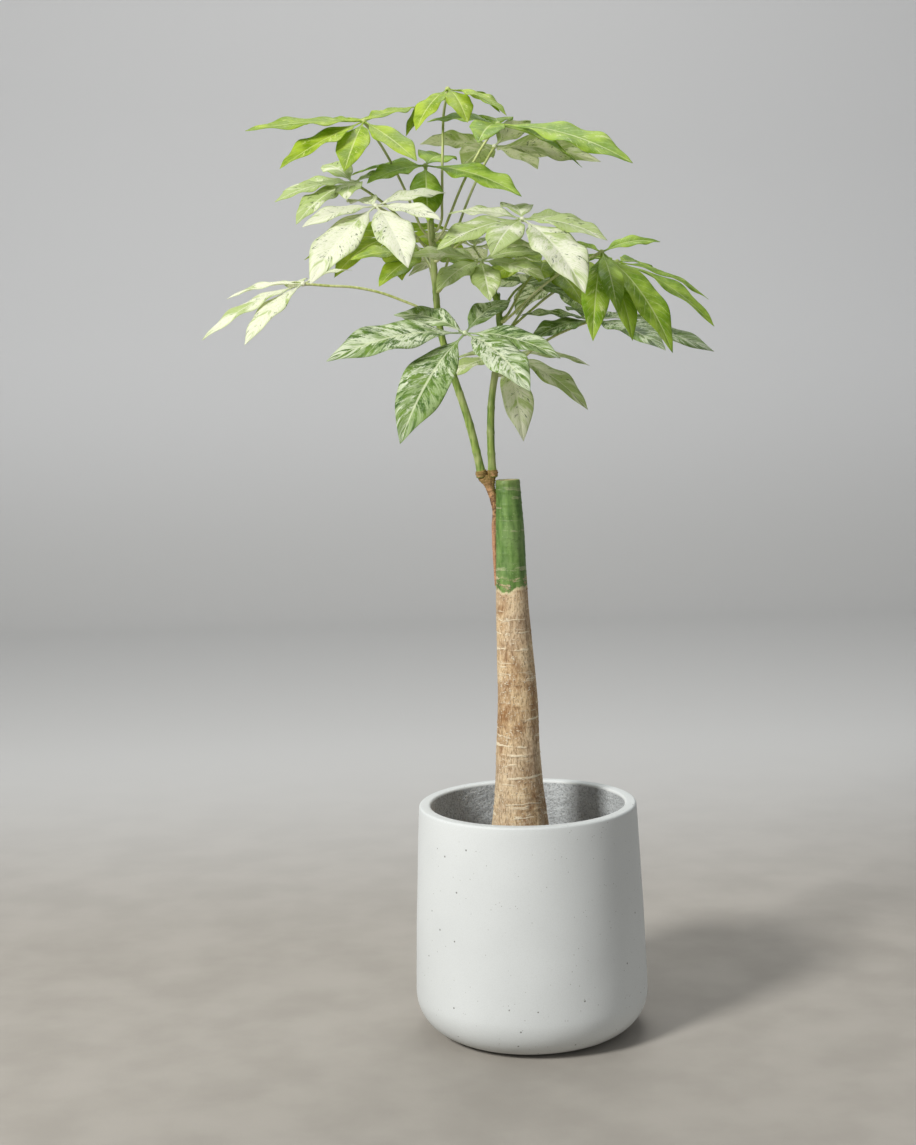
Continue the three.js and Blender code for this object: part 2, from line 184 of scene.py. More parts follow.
def tube(centres, radii, sides, bumps=None, close=(True, True)):
    """Points and faces of a round tube through centres. bumps(i, angle) scales the radius."""
    centres = np.asarray(centres)
    ways = unit(np.gradient(centres, axis=0))
    across = unit(np.cross(ways[0], (0.31, 0.9, 0.17)))
    points, faces = [], []
    for i, (centre, way, radius) in enumerate(zip(centres, ways, radii)):
        across = unit(across - way * (across @ way))
        over = np.cross(way, across)
        for k in range(sides):
            a = 2 * math.pi * k / sides
            r = radius * (bumps(i, a) if bumps else 1)
            points.append(centre + r * (math.cos(a) * across + math.sin(a) * over))
    rows = len(centres)
    for i in range(rows - 1):
        for k in range(sides):
            a, b = i * sides + k, i * sides + (k + 1) % sides
            faces.append((a, b, b + sides, a + sides))
    for row, wanted in ((0, close[0]), (rows - 1, close[1])):
        if wanted:
            points.append(centres[row])
            hub = len(points) - 1
            for k in range(sides):
                a, b = row * sides + k, row * sides + (k + 1) % sides
                faces.append((hub, b, a) if row == 0 else (hub, a, b))
    return points, faces


def turned(profile, sides, push=None):
    """Points and faces of a profile of (radius, height) turned about Z. push(x, y, z) moves a point outwards."""
    points, faces = [], []
    for r, z in profile:
        for k in range(sides):
            a = 2 * math.pi * k / sides
            x, y = math.cos(a), math.sin(a)
            grown = r + (push(x * r, y * r, z) if push and r > 1e-6 else 0)
            points.append((grown * x, grown * y, z))
    for i in range(len(profile) - 1):
        for k in range(sides):
            a, b = i * sides + k, i * sides + (k + 1) % sides
            faces.append((a, b, b + sides, a + sides))
    return points, faces


# ---- Materials. A Nodes object wires one material.


class Nodes:
    def __init__(self, name):
        self.material = bpy.data.materials.new(name)
        self.material.use_nodes = True
        self.tree = self.material.node_tree
        self.shader = self.tree.nodes["Principled BSDF"]

    def new(self, kind, **settings):
        node = self.tree.nodes.new("ShaderNode" + kind)
        for key, value in settings.items():
            setattr(node, key, value)
        return node

    def wire(self, socket, value):
        if isinstance(value, bpy.types.NodeSocket):
            self.tree.links.new(value, socket)
        elif value is not None:
            socket.default_value = value

    def coordinates(self, kind="Object", stretch=(1, 1, 1), shift=(0, 0, 0)):
        """Object coordinates, or those of a UV layer, stretched."""
        if kind == "Object":
            source = self.new("TexCoord").outputs["Object"]
        else:
            source = self.new("UVMap", uv_map=kind).outputs["UV"]
        mapping = self.new("Mapping")
        self.wire(mapping.inputs["Vector"], source)
        mapping.inputs["Scale"].default_value = stretch
        mapping.inputs["Location"].default_value = shift
        return mapping.outputs["Vector"]

    def noise(self, vector, scale, detail=3.0, roughness=0.5, distortion=0.0):
        node = self.new("TexNoise")
        self.wire(node.inputs["Vector"], vector)
        self.wire(node.inputs["Scale"], scale)
        node.inputs["Detail"].default_value = detail
        node.inputs["Roughness"].default_value = roughness
        node.inputs["Distortion"].default_value = distortion
        return node.outputs["Fac"]

    def cells(self, vector, scale, feature="F1"):
        node = self.new("TexVoronoi", feature=feature)
        self.wire(node.inputs["Vector"], vector)
        self.wire(node.inputs["Scale"], scale)
        return node.outputs["Distance"]

    def math(self, operation, a, b=None, c=None):
        node = self.new("Math", operation=operation)
        for socket, value in zip(node.inputs, (a, b, c)):
            self.wire(socket, value)
        return node.outputs[0]

    def ramp(self, value, low, high, start=0.0, end=1.0):
        """value between low and high, mapped smoothly to start and end."""
        node = self.new("MapRange", interpolation_type="SMOOTHSTEP")
        self.wire(node.inputs["Value"], value)
        for name, number in (("From Min", low), ("From Max", high), ("To Min", start), ("To Max", end)):
            self.wire(node.inputs[name], number)
        return node.outputs[0]

    def mix(self, share, a, b):
        """Colours a and b mixed by share."""
        node = self.new("Mix", data_type="RGBA")
        sockets = {s.identifier: s for s in node.inputs}
        self.wire(sockets["Factor_Float"], share)
        self.wire(sockets["A_Color"], a)
        self.wire(sockets["B_Color"], b)
        return node.outputs["Result"] if node.outputs["Result"].type == "RGBA" else node.outputs[2]

    def bump(self, height, distance, strength=1.0, before=None):
        node = self.new("Bump")
        self.wire(node.inputs["Height"], height)
        node.inputs["Distance"].default_value = distance
        node.inputs["Strength"].default_value = strength
        self.wire(node.inputs["Normal"], before)
        return node.outputs["Normal"]

    def attribute(self, name):
        return self.new("Attribute", attribute_name=name).outputs["Fac"]

    def finish(self, colour, roughness, normal=None):
        self.wire(self.shader.inputs["Base Color"], colour)
        self.wire(self.shader.inputs["Roughness"], roughness)
        self.wire(self.shader.inputs["Normal"], normal)
        return self.material

    def let_light_through(self, colour, share, normal):
        """Mixes some translucency into the shader, as thin leaf tissue has."""
        glow = self.new("BsdfTranslucent")
        self.wire(glow.inputs["Color"], colour)
        self.wire(glow.inputs["Normal"], normal)
        both = self.new("MixShader")
        self.wire(both.inputs[0], share)
        self.wire(both.inputs[1], self.shader.outputs[0])
        self.wire(both.inputs[2], glow.outputs[0])
        self.wire(self.tree.nodes["Material Output"].inputs["Surface"], both.outputs[0])


def srgb(red, green, blue):
    """A colour given as 8-bit screen values, in the linear values that shaders use."""
    shares = [value / 255 for value in (red, green, blue)]
    linear = [c / 12.92 if c <= 0.04045 else ((c + 0.055) / 1.055) ** 2.4 for c in shares]
    return (*linear, 1)


def stone_outside():
    """Cast stone, pale and nearly smooth, with fine grain, pinholes and a few dark specks."""
    n = Nodes("cast_stone")
    at = n.coordinates()
    clouds = n.noise(at, 7, 3, 0.5)
    grain = n.noise(at, 900, 2, 0.6)
    colour = n.mix(n.ramp(clouds, 0.3, 0.7), srgb(216, 220, 220), srgb(222, 226, 226))
    colour = n.mix(n.math("MULTIPLY", n.ramp(grain, 0.4, 0.75), 0.25), colour, srgb(196, 198, 195))
    # Painted shade: the bottom 30 mm of the outside darkens towards a warm grey, where the planter meets the floor.
    split = n.new("SeparateXYZ")
    n.wire(split.inputs[0], at)
    painted_foot_shade = n.ramp(split.outputs["Z"], 0.0, 0.03, 0.4, 0.0)
    colour = n.mix(painted_foot_shade, colour, srgb(178, 174, 166))
    hole = n.ramp(n.cells(at, 58), 0.075, 0.05)
    hole = n.math("MULTIPLY", hole, n.ramp(n.noise(at, 31, 2), 0.47, 0.5))
    colour = n.mix(n.math("MULTIPLY", hole, 0.85), colour, srgb(112, 112, 106))
    speck = n.math("MULTIPLY", n.ramp(n.cells(at, 170), 0.12, 0.08), n.ramp(n.noise(at, 52, 2), 0.52, 0.56))
    colour = n.mix(n.math("MULTIPLY", speck, 0.6), colour, srgb(132, 130, 122))
    height = n.math("SUBTRACT", n.math("MULTIPLY", grain, 0.2), hole)
    height = n.math("ADD", height, n.math("MULTIPLY", n.noise(at, 60, 3), 0.35))
    normal = n.bump(height, 0.0006, 0.6)
    return n.finish(colour, n.ramp(clouds, 0.3, 0.7, 0.55, 0.66), normal)


def stone_inside():
    """The planter's inside: the same stone, left rough from its mould, stained where it meets the soil."""
    n = Nodes("cast_stone_inside")
    at = n.coordinates()
    clouds = n.noise(at, 14, 5, 0.6)
    lumps = n.noise(at, 330, 4, 0.7)
    colour = n.mix(n.ramp(clouds, 0.3, 0.7), srgb(198, 203, 205), srgb(220, 225, 227))
    colour = n.mix(n.math("MULTIPLY", n.ramp(lumps, 0.5, 0.4), 0.6), colour, srgb(146, 150, 151))
    split = n.new("SeparateXYZ")
    n.wire(split.inputs[0], at)
    soil_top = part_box("soil")[1].z
    wet = n.math("ADD", split.outputs["Z"], n.math("MULTIPLY", n.noise(at, 30, 3), 0.02))
    colour = n.mix(n.ramp(wet, soil_top + 0.004, soil_top + 0.026, 0.5, 0.0), colour, srgb(116, 108, 96))
    normal = n.bump(lumps, 0.0028, 0.9)
    normal = n.bump(n.noise(at, 700, 2), 0.0005, 0.5, normal)
    return n.finish(colour, 0.94, normal)


def soil_material():
    """Damp dark potting mix."""
    n = Nodes("potting_soil")
    at = n.coordinates()
    crumbs = n.noise(at, 160, 4, 0.65)
    colour = n.mix(n.ramp(crumbs, 0.35, 0.7), srgb(44, 31, 22), srgb(92, 70, 50))
    fibres = n.noise(n.coordinates(stretch=(1, 0.15, 1)), 420, 2)
    colour = n.mix(n.ramp(fibres, 0.64, 0.72), colour, srgb(138, 108, 74))
    normal = n.bump(crumbs, 0.002, 0.9)
    return n.finish(colour, 0.95, normal)


def perlite_material():
    """White perlite grains in the potting mix."""
    n = Nodes("perlite")
    at = n.coordinates()
    grain = n.noise(at, 900, 3)
    colour = n.mix(n.ramp(grain, 0.3, 0.7), srgb(176, 168, 154), srgb(228, 224, 214))
    return n.finish(colour, 0.9, n.bump(grain, 0.0005, 0.7))


def bark_material():
    """The trunk's skin: tan cork with pale scars, fine fibres and pores below, smooth green above."""
    n = Nodes("trunk_bark")
    at = n.coordinates()
    split = n.new("SeparateXYZ")
    n.wire(split.inputs[0], at)
    z = split.outputs["Z"]
    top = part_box("trunk")[1].z
    change = top - 0.130

    # Cork: short fine fibres over blotches, with small pale pores and darker cracks.
    fibres = n.noise(n.coordinates(stretch=(1, 1, 0.3)), 560, 4, 0.7)
    strands = n.noise(n.coordinates(stretch=(1, 1, 0.22)), 150, 3, 0.6)
    blotch = n.noise(n.coordinates(stretch=(1, 1, 0.7)), 38, 5, 0.65)
    wide_blotch = n.noise(n.coordinates(stretch=(1, 1, 0.5)), 14, 3, 0.5)
    cork = n.mix(n.ramp(blotch, 0.36, 0.62), srgb(158, 116, 72), srgb(230, 202, 158))
    cork = n.mix(n.math("MULTIPLY", n.ramp(wide_blotch, 0.45, 0.65), 0.5), cork, srgb(228, 210, 180))
    cork = n.mix(n.math("MULTIPLY", n.ramp(strands, 0.5, 0.34), 0.35), cork, srgb(128, 96, 62))
    cork = n.mix(n.math("MULTIPLY", n.ramp(fibres, 0.5, 0.38), 0.62), cork, srgb(108, 80, 50))
    cork = n.mix(n.math("MULTIPLY", n.ramp(fibres, 0.54, 0.66), 0.6), cork, srgb(236, 222, 196))
    foot = n.ramp(z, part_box("soil")[1].z + 0.11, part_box("soil")[1].z + 0.02)
    flakes = n.ramp(n.noise(n.coordinates(stretch=(1, 1, 1.5)), 85, 4, 0.7), 0.53, 0.6)
    cork = n.mix(n.math("MULTIPLY", n.math("MULTIPLY", flakes, foot), 0.6), cork, srgb(226, 210, 184))
    pore = n.ramp(n.noise(n.coordinates(stretch=(1, 1, 1.7)), 300, 2, 0.5), 0.6, 0.66)
    pore = n.math("MULTIPLY", pore, n.ramp(n.noise(at, 60, 2), 0.48, 0.56))
    cork = n.mix(n.math("MULTIPLY", pore, 0.85), cork, srgb(238, 226, 200))

    # Green skin: dark and even, with pale dots and faint streaks, yellower at the very top.
    skin = n.mix(n.ramp(strands, 0.2, 0.8), srgb(62, 100, 32), srgb(128, 162, 86))
    skin = n.mix(n.math("MULTIPLY", n.ramp(blotch, 0.5, 0.68), 0.4), skin, srgb(140, 166, 104))
    dots = n.ramp(n.cells(n.coordinates(stretch=(1, 1, 0.8)), 330), 0.2, 0.1)
    dots = n.math("MULTIPLY", dots, n.ramp(n.noise(at, 110, 2), 0.5, 0.58))
    skin = n.mix(n.math("MULTIPLY", dots, 0.6), skin, srgb(172, 190, 134))
    skin = n.mix(n.ramp(z, top - 0.012, top, 0.0, 0.35), skin, srgb(158, 172, 104))

    # The cork's upper edge is ragged, and thin scars run round the trunk where leaves once sat.
    sway = n.math("MULTIPLY", n.math("SUBTRACT", n.noise(n.coordinates(stretch=(1, 1, 0.4)), 62, 4, 0.6), 0.5), 0.026)
    level = n.math("ADD", z, sway)
    young = n.ramp(level, change - 0.002, change + 0.002)
    mottle = n.ramp(n.noise(n.coordinates(stretch=(1, 1, 2.2)), 95, 4, 0.65), 0.5, 0.56)
    mottle = n.math("MULTIPLY", mottle, n.ramp(level, change + 0.02, change + 0.008))
    young = n.math("SUBTRACT", young, n.math("MULTIPLY", n.math("MULTIPLY", mottle, young), 0.8))
    colour = n.mix(young, cork, skin)
    line_at = n.new("CombineXYZ")
    drift = n.math("MULTIPLY", n.math("SUBTRACT", n.noise(at, 30, 2), 0.5), 0.014)
    n.wire(line_at.inputs["Z"], n.math("ADD", z, drift))
    scar = n.ramp(n.noise(line_at.outputs[0], 190, 2.0), 0.54, 0.575)
    broken = n.ramp(n.noise(n.coordinates(stretch=(1, 1, 3.0)), 42, 3, 0.6), 0.49, 0.57)
    scar = n.math("MULTIPLY", n.math("MULTIPLY", scar, broken), n.ramp(z, change + 0.03, change, 0.25, 1.0))
    colour = n.mix(n.math("MULTIPLY", scar, 0.85), colour, srgb(242, 228, 198))
    edge = n.ramp(n.math("ABSOLUTE", n.math("SUBTRACT", level, change)), 0.003, 0.0008)
    arc = n.ramp(n.math("ABSOLUTE", n.math("SUBTRACT", level, change + 0.014)), 0.0018, 0.0006)
    arc = n.math("MULTIPLY", arc, broken)
    colour = n.mix(n.math("MULTIPLY", n.math("MAXIMUM", edge, arc), 0.75), colour, srgb(220, 202, 164))

    cork_relief = n.math("ADD", n.math("MULTIPLY", fibres, 0.6), n.math("MULTIPLY", blotch, 0.8))
    height = n.math("MULTIPLY", cork_relief, n.ramp(young, 0.0, 1.0, 1.0, 0.12))
    height = n.math("ADD", height, n.math("MULTIPLY", n.math("ADD", scar, pore), 0.35))
    height = n.math("ADD", height, n.math("MULTIPLY", dots, 0.06))
    normal = n.bump(height, 0.0016, 0.8)
    return n.finish(colour, n.ramp(young, 0.0, 1.0, 0.8, 0.46), normal)


def cut_material():
    """The sawn top: pale wood with a green rim and a dark pith."""
    n = Nodes("cut_wood")
    at = n.coordinates()
    split = n.new("SeparateXYZ")
    n.wire(split.inputs[0], at)
    centre, radius = trunk_rings()[-1]
    x = n.math("SUBTRACT", split.outputs["X"], float(centre[0]))
    y = n.math("SUBTRACT", split.outputs["Y"], float(centre[1]))
    reach = n.math("SQRT", n.math("ADD", n.math("MULTIPLY", x, x), n.math("MULTIPLY", y, y)))
    reach = n.math("ADD", reach, n.math("MULTIPLY", n.math("SUBTRACT", n.noise(at, 120, 3), 0.5), 0.002))
    fibre = n.noise(at, 500, 3, 0.6)
    colour = n.mix(n.ramp(fibre, 0.3, 0.7), srgb(196, 176, 132), srgb(226, 212, 172))
    colour = n.mix(n.ramp(reach, 0.62 * radius, 0.9 * radius), colour, srgb(166, 176, 112))
    colour = n.mix(n.ramp(reach, 0.22 * radius, 0.12 * radius), colour, srgb(142, 112, 76))
    return n.finish(colour, 0.8, n.bump(fibre, 0.0008, 0.7))


def shoot_material():
    """Reddish brown young bark on the side shoot, greener where the stems leave it."""
    n = Nodes("shoot_wood")
    at = n.coordinates()
    split = n.new("SeparateXYZ")
    n.wire(split.inputs[0], at)
    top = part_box("side_shoot")[1].z
    streaks = n.noise(n.coordinates(stretch=(1, 1, 0.2)), 260, 4, 0.6)
    colour = n.mix(n.ramp(streaks, 0.36, 0.64), srgb(104, 68, 42), srgb(186, 142, 98))
    scales = n.noise(n.coordinates(stretch=(1, 1, 2.6)), 240, 3, 0.6)
    colour = n.mix(n.math("MULTIPLY", n.ramp(scales, 0.52, 0.42), 0.7), colour, srgb(84, 56, 34))
    high = n.math("ADD", split.outputs["Z"], n.math("MULTIPLY", n.math("SUBTRACT", n.noise(at, 70, 3), 0.5), 0.03))
    colour = n.mix(n.math("MULTIPLY", n.ramp(high, top - 0.03, top - 0.006), 0.5), colour, srgb(146, 130, 58))
    rim = n.ramp(n.noise(at, 130, 3, 0.6), 0.5, 0.62)
    colour = n.mix(n.math("MULTIPLY", rim, 0.55), colour, srgb(222, 172, 126))
    low = n.ramp(high, top - 0.045, top - 0.07)
    colour = n.mix(n.math("MULTIPLY", low, 0.6), colour, srgb(206, 150, 118))
    return n.finish(colour, 0.7, n.bump(n.math("ADD", streaks, scales), 0.0016, 0.9))


def stem_material(name, dark, light, pale):
    """Smooth green stem with long faint streaks, pale clouds and pale flecks."""
    n = Nodes(name)
    at = n.coordinates()
    streaks = n.noise(n.coordinates(stretch=(1, 1, 0.1)), 300, 3, 0.55)
    clouds = n.noise(at, 28, 3)
    colour = n.mix(n.ramp(streaks, 0.3, 0.7), dark, light)
    colour = n.mix(n.math("MULTIPLY", n.ramp(clouds, 0.45, 0.65), 0.6), colour, pale)
    fleck = n.math("MULTIPLY", n.ramp(n.cells(at, 260), 0.2, 0.12), n.ramp(n.noise(at, 90, 2), 0.55, 0.6))
    colour = n.mix(n.math("MULTIPLY", fleck, 0.5), colour, srgb(214, 212, 170))
    normal = n.bump(n.math("ADD", streaks, n.math("MULTIPLY", fleck, 0.5)), 0.0006, 0.5)
    return n.finish(colour, n.ramp(clouds, 0.3, 0.7, 0.38, 0.5), normal)


VEIN_PAIRS = 13
VEIN_SLANT = 0.16  # how far a side vein climbs towards the tip on its way to the margin, as a share of the length


def leaf_material(name, deep, fresh, cream, cover, marble, vein, specks, glow):
    """Leaf tissue: green and cream areas, a pale midrib, side veins and small dark specks.

    cover is the share of the blade that is green, raised or lowered by the leaflet's own tone, marble is the
    size of the green areas in metres, and glow tints the light that comes through.
    """
    n = Nodes(name)
    blade = n.new("SeparateXYZ")
    n.wire(blade.inputs[0], n.coordinates("blade"))
    along = blade.outputs["Y"]
    side = n.math("ABSOLUTE", blade.outputs["X"])
    tone = n.attribute("tone")
    at = n.coordinates()

    # Side veins run from the midrib towards the tip.
    course = n.math("MULTIPLY", n.math("SUBTRACT", along, n.math("MULTIPLY", side, VEIN_SLANT)), VEIN_PAIRS)
    between = n.math("ABSOLUTE", n.math("SUBTRACT", n.math("FRACT", course), 0.5))
    side_vein = n.math("MULTIPLY", n.ramp(between, 0.41, 0.49), n.ramp(side, 1.0, 0.5))
    midrib = n.ramp(side, 0.07, 0.025)

    # Green areas, drawn out along the side veins and frayed at their edges.
    drawn = n.coordinates("veins", stretch=(1, 0.6, 1))
    patches = n.noise(drawn, 1 / marble, 5, 0.7, 0.3)
    frayed = n.noise(n.coordinates("veins", stretch=(1, 0.7, 1)), 420, 3, 0.65)
    green = n.math("ADD", patches, n.math("MULTIPLY", n.math("SUBTRACT", frayed, 0.5), 0.35))
    green = n.math("ADD", green, n.math("MULTIPLY", n.math("SUBTRACT", tone, 0.5), 0.12))
    threshold = 0.5 + 0.42 * (0.5 - cover)
    green = n.ramp(green, threshold - 0.025, threshold + 0.025)
    shade = n.noise(at, 45, 3, 0.55)
    tissue = n.mix(n.ramp(shade, 0.36, 0.66), deep, fresh)
    tissue = n.mix(n.math("MULTIPLY", n.ramp(frayed, 0.5, 0.66), 0.35), tissue, n.mix(0.5, fresh, cream))
    pale = n.mix(n.math("MULTIPLY", n.ramp(frayed, 0.48, 0.66), 0.35), cream, fresh)
    clouds = n.math("ADD", n.noise(drawn, 42, 4, 0.65), n.math("MULTIPLY", n.math("SUBTRACT", tone, 0.5), 0.36))
    pale = n.mix(n.math("MULTIPLY", n.ramp(clouds, 0.45, 0.58), 0.75), pale, fresh)
    pale = n.mix(n.math("MULTIPLY", n.ramp(side, 0.72, 0.98), 0.35), pale, fresh)
    colour = n.mix(green, pale, tissue)
    if specks:
        dots = n.ramp(n.noise(n.coordinates("veins", stretch=(1, 0.8, 1)), 330, 3, 0.6), 0.56, 0.62)
        dots = n.math("MULTIPLY", dots, n.ramp(n.noise(drawn, 75, 3, 0.6), 0.53, 0.58))
        colour = n.mix(n.math("MULTIPLY", dots, specks), colour, deep)
    colour = n.mix(n.math("MULTIPLY", side_vein, 0.3), colour, vein)
    colour = n.mix(n.math("MULTIPLY", midrib, 0.8), colour, vein)

    height = n.math("SUBTRACT", n.math("MULTIPLY", frayed, 0.4), n.math("MULTIPLY", side_vein, 0.5))
    normal = n.bump(height, 0.0007, 0.6)
    n.finish(colour, n.ramp(shade, 0.3, 0.7, 0.42, 0.54), normal)
    n.shader.inputs["Specular IOR Level"].default_value = 0.3
    n.let_light_through(n.mix(0.45, colour, glow), 0.38, normal)
    return n.material


# ---- Planter and soil.


def pot_profile():
    """The planter's outline as (radius, height): under the foot and up the side, then over the lip and down inside."""
    places, _ = welded("pot")
    radii, z = np.hypot(places[:, 0], places[:, 1]), places[:, 2]
    height, radius = z.max(), radii.max()
    foot = radii[z < 1 * MM].max()
    fillet = radius - foot
    at_rim = radii[z > height - 6 * MM]
    rim, wall = at_rim.max(), at_rim.max() - at_rim.min()
    floor = z[radii < 1 * MM].max()
    lip = 3 * MM

    def side(z):
        t = max(z - fillet, 0) / (height - fillet)
        return radius + (rim - radius) * t**1.3

    def arc(cx, cz, r, start, end, steps):
        angles = np.radians(np.linspace(start, end, steps))
        return [(cx + r * math.cos(a), cz + r * math.sin(a)) for a in angles]

    outside = [(0, 0), (foot * 0.5, 0)]
    outside += arc(foot, fillet, fillet, -90, 0, 24)
    outside += [(side(z), z) for z in np.linspace(fillet, height - lip, 40)[1:-1]]
    outside += arc(rim - lip, height - lip, lip, 0, 90, 7)
    inside = arc(rim - wall + lip, height - lip, lip, 90, 180, 7)
    inside += [(side(z) - wall, z) for z in np.linspace(height - lip, fillet, 110)[1:]]
    inner = fillet - wall
    inside += arc(radius - wall - inner, floor + inner, inner, 0, -90, 10)
    inside.append((0, floor))
    return outside, inside


def make_pot():
    """The planter, its outside nearly smooth and its inside left rough by the mould."""
    outside, inside = pot_profile()
    sides = 220
    rim_top = outside[-1][1]

    def uneven(x, y, z):
        return 0.3 * MM * noise.noise(Vector((x, y, z)) * 18)

    def rough(x, y, z):
        at = Vector((x, y, z))
        depth = smoothstep(rim_top - 3 * MM, rim_top - 12 * MM, z)
        return depth * (-0.5 * MM * noise.noise(at * 60) - 0.9 * MM * noise.noise(at * 190))

    shell, faces = turned(outside, sides, uneven)
    lining, more = turned(inside, sides, rough)
    turn = len(shell)
    faces += [tuple(turn + i for i in face) for face in more]
    last = turn - sides
    for k in range(sides):
        a, b = last + k, last + (k + 1) % sides
        faces.append((a, b, turn + (k + 1) % sides, turn + k))
    piece = make_piece("planter", shell + lining, faces, stone_outside(), "cast_stone", "pot")
    piece.data.materials.append(stone_inside())
    for polygon in list(piece.data.polygons)[(len(outside) - 1) * sides :]:
        if polygon.center.z < rim_top - 3 * MM:
            polygon.material_index = 1
    join_doubles(piece.data)


def make_soil():
    """A crumbly soil surface, with clods and perlite grains lying on it, over a plain plug that fills the planter."""
    low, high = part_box("soil")
    radius = high.x
    level = high.z
    rings, sides = 70, 150
    points, faces = [], []
    for r in np.linspace(radius, radius / rings, rings):
        for k in range(sides):
            a = 2 * math.pi * k / sides
            x, y = r * math.cos(a), r * math.sin(a)
            at = Vector((x, y, 0))
            crumbs = sum(size * MM * noise.noise(at * often) for size, often in ((2.2, 60), (1.5, 150), (0.8, 330)))
            z = level - 6 * MM * (r / radius) ** 2 + crumbs - 1 * MM
            points.append((x, y, z))
    for i in range(rings - 1):
        for k in range(sides):
            a, b = i * sides + k, i * sides + (k + 1) % sides
            faces.append((a, b, b + sides, a + sides))
    points.append((0, 0, level))
    for k in range(sides):
        a, b = (rings - 1) * sides + k, (rings - 1) * sides + (k + 1) % sides
        faces.append((a, b, len(points) - 1))
    # The plug's side and underside.
    skirt = len(points)
    for r, z in ((radius, low.z + 0.035), (radius * 0.8, low.z + 0.004), (radius * 0.7, low.z)):
        turns = [2 * math.pi * k / sides for k in range(sides)]
        points += [(r * math.cos(a), r * math.sin(a), z) for a in turns]
    for row, start in enumerate((0, skirt, skirt + sides)):
        below = skirt + row * sides
        for k in range(sides):
            n1 = (k + 1) % sides
            faces.append((start + n1, start + k, below + k, below + n1))
    faces.append(tuple(skirt + 2 * sides + k for k in reversed(range(sides))))
    make_piece("soil_bed", points, faces, soil_material(), "potting_soil", "soil")

    picks = random.Random(7)
    trunk_low = np.array(trunk_at(level)[0])
    trunk_radius = trunk_at(level)[1]
    for name, material, count, small, large in (
        ("soil_clods", bpy.data.materials["potting_soil"], 520, 1.6, 5.5),
        ("soil_perlite", perlite_material(), 150, 1.0, 2.4),
    ):
        grains = Parts()
        while len(grains.points) < count * 42:
            r = radius * 0.97 * math.sqrt(picks.random())
            a = picks.random() * 2 * math.pi
            x, y = r * math.cos(a), r * math.sin(a)
            size = picks.uniform(small, large) * MM
            if math.hypot(x - trunk_low[0], y - trunk_low[1]) < trunk_radius + size:
                continue
            z = level - 6 * MM * (r / radius) ** 2 + 0.1 * size
            grains.add(*pebble((x, y, z), size, picks))
        make_piece(name, grains.points, grains.faces, material, "potting_soil")


def pebble(place, size, picks):
    """A small lumpy grain of 42 points."""
    turn = picks.random() * math.pi
    seed = picks.random() * 40
    squash = [picks.uniform(0.6, 1.1) for _ in range(3)]
    points, faces = [], []
    rows, sides = 5, 8
    for i in range(rows):
        up = math.pi * (i + 1) / (rows + 1)
        for k in range(sides):
            a = 2 * math.pi * k / sides + turn
            way = Vector((math.sin(up) * math.cos(a), math.sin(up) * math.sin(a), math.cos(up)))
            r = size * 0.5 * (1 + 0.5 * noise.noise(way * 1.7 + Vector((seed, 0, 0))))
            points.append(tuple(place[j] + r * way[j] * squash[j] for j in range(3)))
    points.append(tuple(place[j] + (size * 0.5 * squash[2] if j == 2 else 0) for j in range(3)))
    points.append(tuple(place[j] - (size * 0.5 * squash[2] if j == 2 else 0) for j in range(3)))
    for i in range(rows - 1):
        for k in range(sides):
            a, b = i * sides + k, i * sides + (k + 1) % sides
            faces.append((a, a + sides, b + sides, b))
    for k in range(sides):
        faces.append((rows * sides, k, (k + 1) % sides))
        faces.append((rows * sides + 1, (rows - 1) * sides + (k + 1) % sides, (rows - 1) * sides + k))
    return points, faces


# ---- Trunk and side shoot.

_trunk = []


def trunk_rings():
    """The trunk's CAD rings from the foot up, each as (centre, radius)."""
    if not _trunk:
        places, _ = welded("trunk")
        for z in np.unique(np.round(places[:, 2], 5)):
            ring = places[np.abs(places[:, 2] - z) < 1e-5]
            centre = ring.mean(0)
            _trunk.append((centre, float(np.linalg.norm(ring - centre, axis=1).mean())))
    return _trunk


def trunk_at(z):
    """The trunk's centre and radius at a height."""
    rings = trunk_rings()
    heights = [c[2] for c, _ in rings]
    centre = spline(heights, [c for c, _ in rings], [z])[0]
    return centre, float(spline(heights, [r for _, r in rings], [z])[0])


